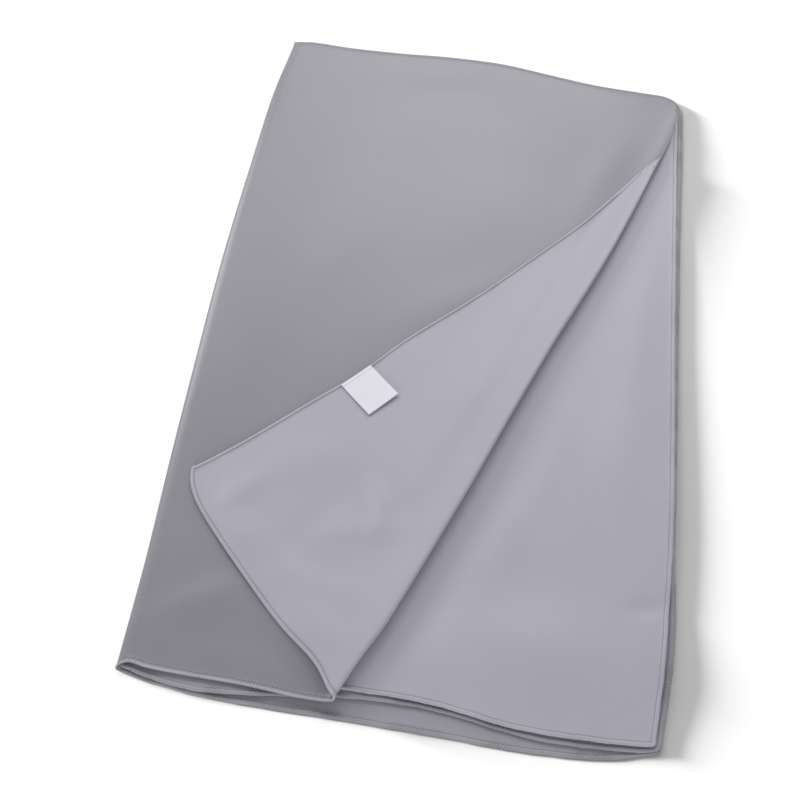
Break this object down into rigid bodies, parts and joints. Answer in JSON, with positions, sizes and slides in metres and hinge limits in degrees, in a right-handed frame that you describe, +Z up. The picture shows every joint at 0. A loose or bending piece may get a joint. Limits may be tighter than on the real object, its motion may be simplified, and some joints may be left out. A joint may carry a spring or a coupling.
{
  "type": "folded evening stole",
  "caption": "Plain satin evening stole folded into a flat packet, with one hemmed corner of its top layer rolled back over a plain sewn label.",
  "frame": {"origin": "on the surface that the packet rests on, at the middle of its bounding box seen from above", "axes": "+Z up through the layers; +Y along the packet's length, from the open hems to the top fold; +X to the right, from the folded side to the hemmed side"},
  "size_m": [0.5604, 0.9149, 0.0272],
  "materials": {
    "satin_face": "silver grey polyester satin, smooth glossy face",
    "satin_wrong_side": "the same satin's wrong side, lighter and softly matt",
    "satin_folded_layers": "silver grey polyester satin, seen at its hems and folds",
    "label_satin": "white satin ribbon, plain",
    "hem_thread": "grey polyester sewing thread"
  },
  "bodies": {
    "root": {"top_layer_turned_back": "satin_face", "second_layer": "satin_wrong_side", "folded_layers_below": "satin_folded_layers", "care_label": "label_satin"}
  },
  "joints": []
}
